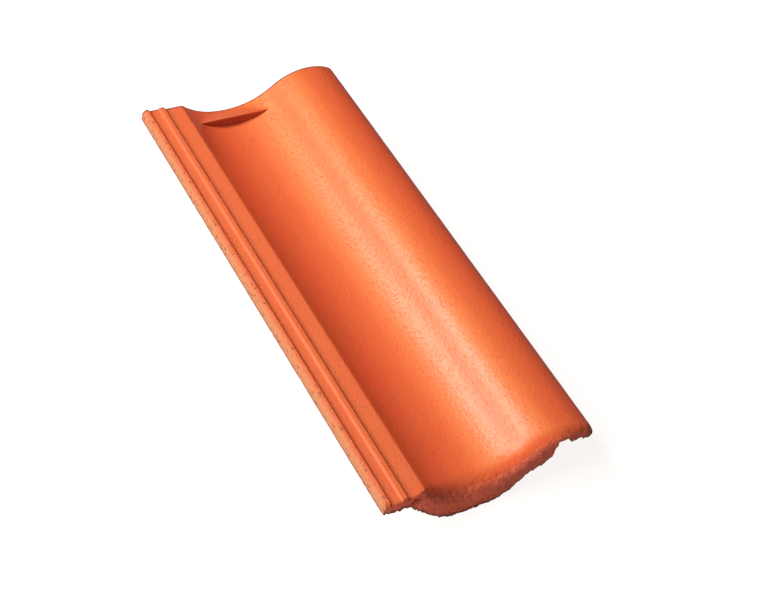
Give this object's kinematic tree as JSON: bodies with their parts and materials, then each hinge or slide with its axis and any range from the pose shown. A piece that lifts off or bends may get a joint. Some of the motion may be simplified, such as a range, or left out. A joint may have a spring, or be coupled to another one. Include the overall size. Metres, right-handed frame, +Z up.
{
  "type": "half roof tile",
  "caption": "Half-width interlocking concrete roof tile with side lock, trough, cover roll, batten nib and foot weather ribs",
  "frame": {"origin": "centre of the box's bottom, on the surface that the tile lies on", "axes": "+Y along the tile from foot to head, +X across it from the side lock to the cover roll, +Z up, out of the coated face"},
  "size_m": [0.18, 0.42, 0.0583],
  "materials": {
    "coated_concrete": "satin"
  },
  "bodies": {
    "root": {"half_tile": "coated_concrete"}
  },
  "joints": []
}
